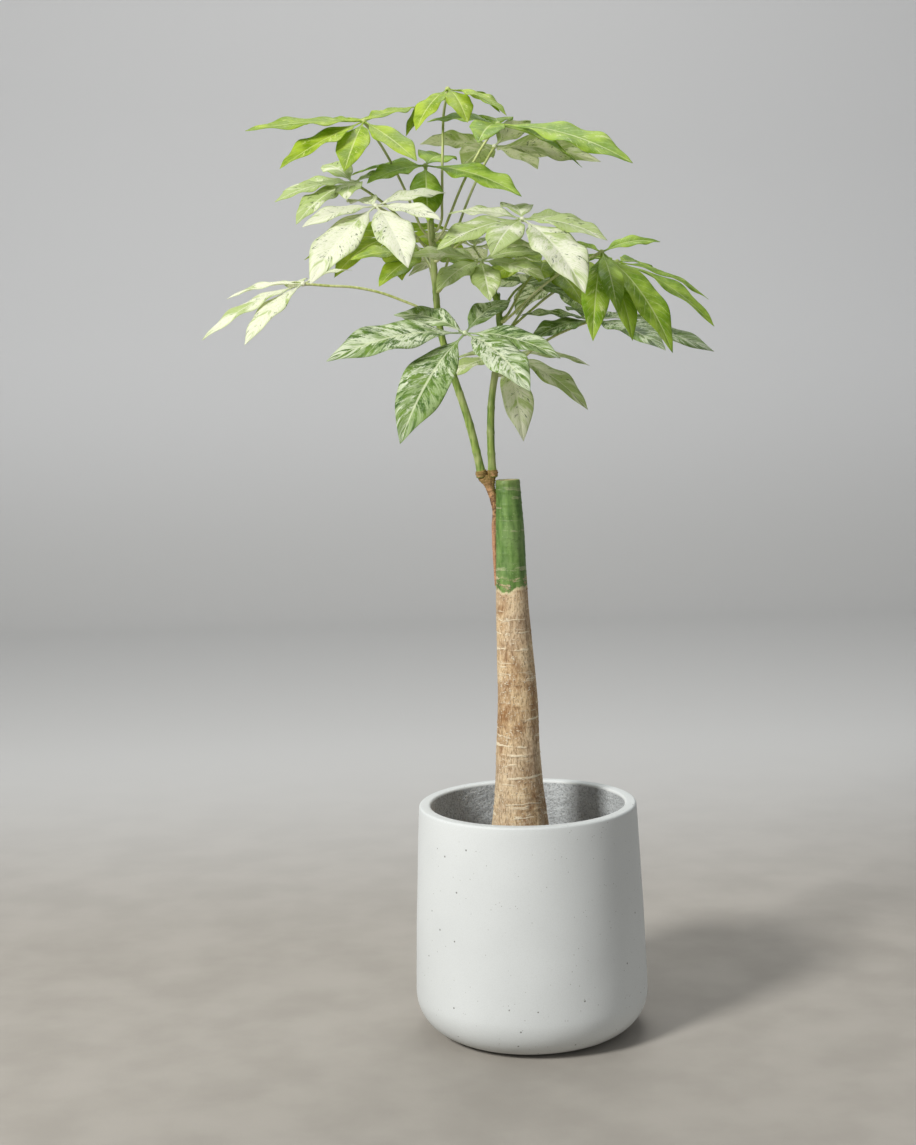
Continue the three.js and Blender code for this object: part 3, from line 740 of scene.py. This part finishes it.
def make_trunk():
    """The trunk with its slight waves, ring scars and ribs, and a sawn top with a rounded rim."""
    rings = trunk_rings()
    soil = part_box("soil")[1].z
    bottom = rings[0][0][2]
    top = rings[-1][0][2]
    picks = random.Random(11)
    scars = [soil + 12 * MM]
    while scars[-1] < top - 14 * MM:
        scars.append(scars[-1] + picks.uniform(9, 26) * MM)
    scars = [(z, picks.uniform(0.15, 0.55) * MM, picks.uniform(0, 6.28), picks.uniform(2, 5) * MM) for z in scars]
    heights = np.concatenate([np.linspace(bottom, soil, 12)[:-1], np.linspace(soil, top - 1.5 * MM, 300)])
    sides = 96
    centres, radii = zip(*(trunk_at(z) for z in heights))

    def bumps(i, a):
        z = heights[i]
        at = Vector((math.cos(a) * 1.1, math.sin(a) * 1.1, z * 9))
        grown = 0.9 * MM * noise.noise(at) + 0.35 * MM * noise.noise(Vector((at.x * 3, at.y * 3, z * 30)))
        ribs = 0.25 * MM * noise.noise(Vector((math.cos(a) * 9, math.sin(a) * 9, z * 4)))
        foot = smoothstep(soil + 0.075, soil, z)
        flare = foot * 2.4 * MM * (noise.noise(Vector((math.cos(a) * 1.6, math.sin(a) * 1.6, 3.7))) + 0.3)
        ring = 0.0
        for place, depth, turn, wave in scars:
            gap = z - place - wave * 0.5 * math.sin(a + turn)
            if abs(gap) < 4 * MM:
                ring += depth * math.exp(-((gap / (1.1 * MM)) ** 2)) - 0.5 * depth * math.exp(-(((gap + 2 * MM) / (1.2 * MM)) ** 2))
        return 1 + (grown + ribs + flare + ring) / radii[i]

    points, faces = tube(centres, radii, sides, bumps, close=(True, False))
    skin_faces = len(faces)
    # The cut: a rounded edge and a slightly dished, rough face.
    centre, radius = np.array(centres[-1]), radii[-1]
    start = len(points)
    last = (len(heights) - 1) * sides
    rim = [np.array(points[last + k]) - centre for k in range(sides)]
    steps = [(0.985, 0.9), (0.95, 1.4), (0.88, 1.5), (0.7, 1.2), (0.5, 1.0), (0.3, 0.9), (0.12, 0.4)]
    for share, rise in steps:
        for k in range(sides):
            rough = 0.35 * MM * noise.noise(Vector(rim[k] * share) * 420)
            points.append(centre + rim[k] * share + np.array((0, 0, rise * MM + rough)))
    points.append(centre + np.array((0, 0, 0.2 * MM)))
    rows = [last] + [start + i * sides for i in range(len(steps))]
    for a, b in zip(rows, rows[1:]):
        for k in range(sides):
            n1 = (k + 1) % sides
            faces.append((a + k, a + n1, b + n1, b + k))
    for k in range(sides):
        faces.append((rows[-1] + k, rows[-1] + (k + 1) % sides, len(points) - 1))
    piece = make_piece("trunk_bark", points, faces, bark_material(), "trunk_bark", "trunk")
    piece.data.materials.append(cut_material())
    for polygon in list(piece.data.polygons)[skin_faces + 2 * sides :]:
        polygon.material_index = 1


def make_shoot():
    """The side shoot: a ridge that grows out of the trunk's flank and swells into a wrinkled, scaly fork."""
    places, _ = welded("side_shoot")
    levels, counts = np.unique(np.round(places[:, 2], 4), return_counts=True)
    heights = levels[counts >= 6]
    rows = []
    for z in heights:
        ring = places[np.abs(places[:, 2] - z) < 1e-4]
        left, right = ring[:, 0].min(), ring[:, 0].max()
        near, far = ring[:, 1].min(), ring[:, 1].max()
        deep = (far - near) / 2
        wide = max((right - left) / 2, deep)
        rows.append((left + wide, (near + far) / 2, wide, deep))
    top = heights[-1]
    wanted = np.linspace(heights[0], top, 130)
    sides = 32
    points = []
    for x, y, wide, deep, z in np.column_stack([spline(heights, rows, wanted), wanted]):
        swell = smoothstep(top - 34 * MM, top - 14 * MM, z)
        for k in range(sides):
            a = 2 * math.pi * k / sides
            wrinkle = 0.07 * swell * math.sin(z * 2 * math.pi / (2.7 * MM) + 1.5 * math.sin(2 * a))
            lump = 0.1 * noise.noise(Vector((1.5 * math.cos(a), 1.5 * math.sin(a), z * 90)))
            size = 1 + wrinkle + lump
            points.append((x + wide * size * math.cos(a), y + deep * size * math.sin(a), z))
    points.append((*rows[0][:2], heights[0]))
    points.append((*rows[-1][:2], top + 1 * MM))
    rings = len(wanted)
    faces = [
        (i * sides + k, i * sides + (k + 1) % sides, (i + 1) * sides + (k + 1) % sides, (i + 1) * sides + k)
        for i in range(rings - 1) for k in range(sides)
    ]
    low, high = rings * sides, rings * sides + 1
    for k in range(sides):
        faces.append((low, (k + 1) % sides, k))
        faces.append((high, (rings - 1) * sides + k, (rings - 1) * sides + (k + 1) % sides))
    parts = Parts()
    parts.add(points, faces)
    # A scaly collar where each stem leaves the node.
    for side in ("left", "right"):
        centres, radii = stem_line(side)
        way = unit(centres[1] - centres[0])
        collar = [centres[0] + way * rise * MM for rise in (-4, -2.5, -1, 0.2, 1.2, 2.4, 3.6, 4.8, 5.6)]
        swell = (0.9, 1.25, 1.42, 1.3, 1.45, 1.5, 1.32, 1.36, 1.0)
        parts.add(*tube(collar, [radii[0] * share for share in swell], 24))
    make_piece("side_shoot_wood", parts.points, parts.faces, shoot_material(), "shoot_wood", "side_shoot")


# ---- Stems, buds and petioles.


def stem_line(side):
    """The stem's CAD ring centres and radii from the fork up."""
    places, near = welded(f"stem_{side}")
    rings = walk_rings(places, near, int(places[:, 2].argmax()), 8)[::-1]
    centres = np.array([ring.mean(0) for ring in rings])
    radii = [float(np.linalg.norm(ring - ring.mean(0), axis=1).mean()) for ring in rings]
    return centres, np.array(radii)


def length_along(points):
    """Distance from the first point to each point, along the row."""
    return np.concatenate([[0], np.cumsum(np.linalg.norm(np.diff(points, axis=0), axis=1))])


def make_stem(side, attached, material):
    """A green stem, swollen slightly at each node where a petiole leaves it."""
    centres, radii = stem_line(side)
    run = length_along(centres)
    wanted = np.linspace(0, run[-1], 150)
    path = spline(run, centres, wanted)
    radius = spline(run, radii, wanted)
    path[0, 2] -= 3 * MM
    nodes = attached + OLD_NODES[side]

    def bumps(i, a):
        z = path[i, 2]
        swell = sum(0.1 * math.exp(-(((z - node) / (2.4 * MM)) ** 2)) for node in nodes)
        above = z - path[0, 2]
        foot = math.exp(-((above / (9 * MM)) ** 2)) * (0.3 + 0.09 * math.sin(above * 2 * math.pi / (3.1 * MM)))
        lump = 0.05 * noise.noise(Vector((math.cos(a), math.sin(a), z * 45)))
        return 1 + min(swell, 0.24) + foot + lump

    points, faces = tube(path, radius, 28, bumps)
    make_piece(f"stem_{side}_skin", points, faces, material, "green_stem", f"stem_{side}")


def make_bud(side, material):
    """A growing tip: a few small folded scales round a core."""
    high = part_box(f"bud_{side}")[1]
    centres, radii = stem_line(side)
    way = unit(centres[-1] - centres[-2])
    base = centres[-1]
    length = float((np.array(high) - base) @ way)
    parts = Parts()
    core = [base + way * length * t for t in np.linspace(-0.1, 0.85, 14)]
    widths = [radii[-1] * w for w in (1, 1, 1.02, 1, 0.95, 0.88, 0.8, 0.7, 0.6, 0.5, 0.4, 0.3, 0.2, 0.1)]
    parts.add(*tube(core, widths, 16))
    side_way = unit(np.cross(way, (0.2, 1, 0)))
    over = np.cross(way, side_way)
    for k in range(5):
        a = k * 2.4
        out = math.cos(a) * side_way + math.sin(a) * over
        root = base + way * length * 0.08 * k + out * radii[-1] * (0.75 - 0.1 * k)
        tip = length * (0.7 - 0.08 * k)
        bend = [root + way * tip * t + out * radii[-1] * 0.5 * math.sin(t * 2.4) for t in np.linspace(0, 1, 9)]
        thick = [radii[-1] * 0.42 * w for w in (0.7, 0.95, 1, 0.95, 0.85, 0.7, 0.5, 0.3, 0.08)]
        parts.add(*tube(bend, thick, 8))
    make_piece(f"bud_{side}_scales", parts.points, parts.faces, material, "green_stem", f"bud_{side}")


def petiole_line(leaf):
    """The petiole's CAD ring centres from the stem to the blade, and the hub's centre."""
    places, near = welded(f"{leaf}_petiole")
    blade, _ = welded(f"{leaf}_blade")
    gaps = np.linalg.norm(places[:, None] - blade[None], axis=2).min(1)
    rings = walk_rings(places, near, int(gaps.argmin()), 6)[::-1]
    centres = np.array([ring.mean(0) for ring in rings])
    arrival = unit(centres[-1] - centres[-2])
    hub = centres[-1] + arrival * HUB_GAP
    return centres, hub, arrival


def make_petiole(leaf, stems, material):
    """The petiole, with a swollen foot that clasps the stem and a thicker joint under the blade."""
    centres, hub, arrival = petiole_line(leaf)
    runs = {side: length_along(line) for side, (line, _) in stems.items()}
    fine = np.concatenate(
        [spline(run, stems[side][0], np.linspace(0, run[-1], 400)) for side, run in runs.items()]
    )
    foot = fine[np.linalg.norm(fine - centres[0], axis=1).argmin()]
    start = centres[0] + (foot - centres[0]) * 0.7
    line = np.vstack([start, centres, hub - arrival * 0.5 * MM])
    run = length_along(line)
    wanted = np.concatenate([np.linspace(0, 0.012, 10)[:-1], np.linspace(0.012, run[-1], 46)])
    path = spline(run, line, wanted)
    foot_swell = np.exp(-((wanted / (6 * MM)) ** 2))
    head_swell = np.exp(-(((run[-1] - wanted) / (6 * MM)) ** 2))
    radius = PETIOLE_RADIUS * (1 + 0.75 * foot_swell + 0.45 * head_swell)
    points, faces = tube(path, radius, 12)
    make_piece(f"{leaf}_stalk", points, faces, material, "petiole", f"{leaf}_petiole")
    return hub, float(foot[2])


# ---- Leaf blades.


def leaflets_of(leaf, hub):
    """Each leaflet of a blade, as its CAD rings from the hub out: middles, half widths, across and up vectors."""
    places, near = welded(f"{leaf}_blade")
    reach = np.linalg.norm(places - hub, axis=1)
    tips = [
        p for p in range(len(places))
        if reach[p] > 25 * MM and all(reach[q] <= reach[p] for q in near[p])
    ]
    found = []
    for tip in tips:
        rings = walk_rings(places, near, tip, 4)[:5]
        if len(rings) < 5:
            continue
        middles, halves, across, up = [], [], [], []
        for ring in rings[::-1]:
            pairs = [(a, b) for a in range(4) for b in range(a + 1, 4)]
            a, b = max(pairs, key=lambda pair: np.linalg.norm(ring[pair[0]] - ring[pair[1]]))
            c, d = (i for i in range(4) if i not in (a, b))
            middle = (ring[c] + ring[d]) / 2
            middles.append(middle)
            halves.append(np.linalg.norm(ring[a] - ring[b]) / 2)
            across.append(unit(ring[a] - ring[b]))
            up.append((ring[a] + ring[b]) / 2 - middle)
        up[-1] = up[-2]
        for k in range(len(up)):
            up[k] = unit(up[k])
            if k and across[k] @ across[k - 1] < 0:
                across[k] = -across[k]
        found.append((np.array(middles), np.array(halves), np.array(across), np.array(up)))
    return found


ACROSS = np.array([-1, -0.93, -0.8, -0.64, -0.48, -0.32, -0.18, -0.08, 0, 0.08, 0.18, 0.32, 0.48, 0.64, 0.8, 0.93, 1])
ALONG = 40
TISSUE = 0.45 * MM


def leaflet_surface(hub, leaflet, picks):
    """Points, faces and UVs of one leaflet: a creased, quilted blade with a wavy margin and a rib below."""
    middles, halves, across, up = leaflet
    first = middles[0] - hub
    line = np.vstack([hub, hub + first * 0.35, middles])
    run = length_along(line)
    length = run[-1]
    stalk = 1.1 * MM
    places = run / length
    t = np.linspace(0, 1, ALONG) ** 0.96
    centre = spline(places, line, t)
    half = spline(places, np.concatenate([[stalk, stalk * 1.1], halves[:-1], [0.25 * MM]]), t)
    half = np.maximum(half, np.where(t > 0.5, 0.2 * MM, stalk))
    way = unit(np.gradient(centre, axis=0))
    lean = spline(places, np.vstack([up[:1], up[:1], up]), t)
    lean = unit(lean - way * (lean * way).sum(1, keepdims=True))
    side = np.cross(lean, way)
    twist = picks.uniform(-0.16, 0.16) * smoothstep(0.2, 1, t)
    side, lean = (
        side * np.cos(twist)[:, None] + lean * np.sin(twist)[:, None],
        lean * np.cos(twist)[:, None] - side * np.sin(twist)[:, None],
    )

    s = ACROSS[None, :]
    wide = half[:, None]
    tt = t[:, None]
    body = smoothstep(0.06, 0.2, tt) * (1 - smoothstep(0.93, 1.0, tt))
    fold = picks.uniform(0.14, 0.3)
    crease = fold * wide * (np.sqrt(s**2 + 0.02) - math.sqrt(0.02)) * body
    droop = -0.12 * wide * np.abs(s) ** 3 * body
    course = (tt - VEIN_SLANT * np.abs(s)) * VEIN_PAIRS
    quilt = 0.036 * wide * np.abs(np.sin(math.pi * (course - 0.5))) * 4 * np.abs(s) * (1 - np.abs(s)) * body
    waves = picks.uniform(2.2, 3.6)
    starts = (picks.uniform(0, 6.28), picks.uniform(0, 6.28))
    turn = np.where(s > 0, starts[0], starts[1])
    ripple = 0.11 * wide * np.abs(s) ** 2.4 * np.sin(2 * math.pi * waves * tt + turn) * body
    lift = crease + droop + quilt + ripple
    sheet = centre[:, None] + side[:, None] * (s * wide)[..., None] + lean[:, None] * lift[..., None]

    down = np.gradient(sheet, axis=0)
    over = np.gradient(sheet, axis=1)
    face = unit(np.cross(over, down))
    face = face * np.sign((face * lean[:, None]).sum(2, keepdims=True))
    solid = 0.5 * (1 - smoothstep(0.04, 0.12, tt)) * 1.7 * MM
    thick = TISSUE * (1 - 0.4 * np.abs(s)) + solid
    rib = 1.0 * MM * (1 - tt) ** 0.6 * np.exp(-((s * wide / (0.9 * MM)) ** 2)) * smoothstep(0.03, 0.1, tt)
    groove = 0.3 * MM * np.exp(-((s * wide / (0.8 * MM)) ** 2)) * body
    upper = sheet + face * (thick / 2 - groove)[..., None]
    under = sheet - face * (thick / 2 + rib)[..., None]

    rows, columns = sheet.shape[:2]
    points = list(upper.reshape(-1, 3)) + list(under.reshape(-1, 3))
    back = rows * columns
    faces = []
    for i in range(rows - 1):
        for k in range(columns - 1):
            a = i * columns + k
            quad = (a, a + columns, a + columns + 1, a + 1)
            faces.append(quad)
            faces.append(tuple(back + q for q in quad[::-1]))
        for a, b in ((i * columns, (i + 1) * columns), ((i + 2) * columns - 1, (i + 1) * columns - 1)):
            faces.append((a, back + a, back + b, b))
    for k in range(columns - 1):
        faces.append((k + 1, back + k + 1, back + k, k))
        a = (rows - 1) * columns + k
        faces.append((a, back + a, back + a + 1, a + 1))
    grid_t, grid_s = np.broadcast_to(tt, sheet.shape[:2]), np.broadcast_to(s, sheet.shape[:2])
    blade_uv = np.stack([grid_s, grid_t], -1).reshape(-1, 2)
    start = picks.uniform(0, 5)
    across_vein = (grid_t - VEIN_SLANT * np.abs(grid_s)) * length + start
    from_midrib = grid_s * wide + picks.uniform(0, 5)
    vein_uv = np.stack([across_vein, from_midrib], -1).reshape(-1, 2)
    return points, faces, np.vstack([blade_uv] * 2), np.vstack([vein_uv] * 2)


def make_blade(leaf, number, hub, arrival, look, material, tone):
    """The blade: its leaflets and the small swollen hub that joins them."""
    picks = random.Random(100 + number)
    parts = Parts()
    for leaflet in leaflets_of(leaf, hub):
        parts.add(*leaflet_surface(hub, leaflet, picks), tone=tone + picks.uniform(-0.2, 0.2))
    knob = [hub + arrival * d * MM for d in (-3.2, -2.4, -1.2, 0, 1.2, 2.2, 2.8)]
    parts.add(*tube(knob, [r * MM for r in (1.2, 2.4, 3.1, 3.3, 2.9, 1.9, 0.7)], 16), tone=0.4)
    parts.make(f"{leaf}_leaflets", material, look, f"{leaf}_blade")


# ---- Floor, light and camera.


def make_stage():
    mesh = bpy.data.meshes.new("floor")
    wide, deep, high, bend = 16.0, 4.4, 7.0, 0.8
    profile = [(-wide, 0.0), (deep - bend, 0.0)]
    profile += [(deep - bend + bend * math.sin(a), bend - bend * math.cos(a)) for a in np.linspace(0.1, math.pi / 2, 14)]
    profile.append((deep, high))
    points = [(x, y, z) for y, z in profile for x in (-wide, wide)]
    faces = [(2 * i, 2 * i + 1, 2 * i + 3, 2 * i + 2) for i in range(len(profile) - 1)]
    mesh.from_pydata(points, [], faces)
    mesh.polygons.foreach_set("use_smooth", [True] * len(mesh.polygons))
    floor = bpy.data.objects.new("floor", mesh)
    bpy.context.scene.collection.objects.link(floor)
    n = Nodes("pale_floor")
    at = n.coordinates()
    split = n.new("SeparateXYZ")
    n.wire(split.inputs[0], at)
    ground = n.mix(n.ramp(n.noise(at, 9, 5), 0.3, 0.7), srgb(160, 155, 147), srgb(170, 165, 157))
    colour = n.mix(n.ramp(split.outputs["Y"], 0.2, 1.8), ground, srgb(208, 208, 206))
    colour = n.mix(n.ramp(split.outputs["Z"], 0.0, 0.9), colour, srgb(238, 239, 240))
    mesh.materials.append(n.finish(colour, 0.85, n.bump(n.noise(at, 220, 3), 0.0005, 0.3)))


def area_light(name, place, target, size, power, colour=(1, 1, 1)):
    light = bpy.data.lights.new(name, "AREA")
    light.shape = "DISK"
    light.size = size
    light.energy = power
    light.color = colour
    lamp = bpy.data.objects.new(name, light)
    bpy.context.scene.collection.objects.link(lamp)
    lamp.location = place
    lamp.rotation_euler = (Vector(target) - Vector(place)).to_track_quat("-Z", "Y").to_euler()


def make_light():
    middle = (0, 0, 0.6)
    area_light("key", (-2.5, -2.4, 2.7), middle, 0.9, 165, (1, 0.985, 0.955))
    area_light("fill", (2.4, -2.4, 1.6), middle, 2.5, 4.5, (0.95, 0.97, 1))
    area_light("top", (0.2, 1.0, 3.0), middle, 1.6, 30)
    area_light("wash", (0, 2.6, 3.9), (0, 4.4, 1.2), 2.0, 11)
    world = bpy.data.worlds.new("studio")
    world.use_nodes = True
    world.node_tree.nodes["Background"].inputs["Color"].default_value = (0.95, 0.97, 1, 1)
    world.node_tree.nodes["Background"].inputs["Strength"].default_value = 0.26
    bpy.context.scene.world = world
    bpy.context.scene.view_settings.view_transform = "Standard"


def make_camera():
    camera = bpy.data.cameras.new("camera")
    camera.lens = CAMERA_LENS
    camera.sensor_width = 36
    camera.clip_end = 50
    holder = bpy.data.objects.new("camera", camera)
    bpy.context.scene.collection.objects.link(holder)
    look = Vector((0, math.cos(CAMERA_PITCH), math.sin(CAMERA_PITCH)))
    right = Vector((1, 0, 0))
    up = right.cross(look)
    c, s = math.cos(CAMERA_ROLL), math.sin(CAMERA_ROLL)
    right, up = c * right - s * up, s * right + c * up
    turn = Matrix((right, up, -look)).transposed().to_4x4()
    holder.matrix_world = Matrix.Translation(CAMERA_PLACE) @ turn
    bpy.context.scene.camera = holder


# ---- The plant put together.

make_camera()
make_light()
make_stage()
make_pot()
make_soil()
make_trunk()
make_shoot()

stem_lines = {side: stem_line(side) for side in ("left", "right")}
petiole_material = stem_material("petiole_skin", srgb(164, 178, 92), srgb(206, 212, 150), srgb(220, 222, 180))
hubs, feet = {}, {"left": [], "right": []}
for leaf in LEAVES:
    hub, foot = make_petiole(leaf, stem_lines, petiole_material)
    hubs[leaf] = hub
    centres = petiole_line(leaf)[0]
    nearest = min(stem_lines, key=lambda side: np.linalg.norm(stem_lines[side][0] - centres[0], axis=1).min())
    feet[nearest].append(foot)

green_stem = stem_material("stem_skin", srgb(92, 122, 40), srgb(156, 176, 90), srgb(190, 196, 138))
bud_green = stem_material("bud_skin", srgb(96, 130, 40), srgb(150, 178, 70), srgb(170, 190, 100))
for side in ("left", "right"):
    make_stem(side, feet[side], green_stem)
    make_bud(side, bud_green)

LOOKS = {
    "lime_leaf": leaf_material(
        "lime_leaf", deep=srgb(140, 172, 26), fresh=srgb(194, 216, 72), cream=srgb(226, 234, 150),
        cover=0.8, marble=0.011, vein=srgb(228, 236, 160), specks=0, glow=srgb(226, 246, 96)),
    "green_leaf": leaf_material(
        "green_leaf", deep=srgb(124, 164, 30), fresh=srgb(186, 214, 80), cream=srgb(222, 232, 162),
        cover=0.76, marble=0.011, vein=srgb(226, 236, 168), specks=0, glow=srgb(222, 246, 96)),
    "cream_leaf": leaf_material(
        "cream_leaf", deep=srgb(60, 84, 28), fresh=srgb(176, 200, 96), cream=srgb(253, 253, 240),
        cover=0.1, marble=0.006, vein=srgb(254, 254, 240), specks=0.9, glow=srgb(240, 250, 176)),
    "mottled_leaf": leaf_material(
        "mottled_leaf", deep=srgb(66, 106, 36), fresh=srgb(134, 168, 74), cream=srgb(244, 250, 232),
        cover=0.46, marble=0.0085, vein=srgb(240, 247, 216), specks=0.4, glow=srgb(232, 246, 160)),
}
# How green the cream leaves are, from 0, almost white, to 1, clouded with green.
CREAM_TONES = {
    "leaf_01": 0.15, "leaf_07": 0.4, "leaf_04": 0.6, "leaf_08": 0.75, "leaf_13": 0.75, "leaf_16": 0.4,
    "leaf_17": 0.45, "leaf_20": 0.5,
}
slots = {part["node"]: part["material_slot"] for part in frame["record"]["subparts"]}
for number, leaf in enumerate(LEAVES):
    look = slots[f"{leaf}_blade"]
    _, hub, arrival = petiole_line(leaf)
    make_blade(leaf, number, hub, arrival, look, LOOKS[look], CREAM_TONES.get(leaf, 0.5))
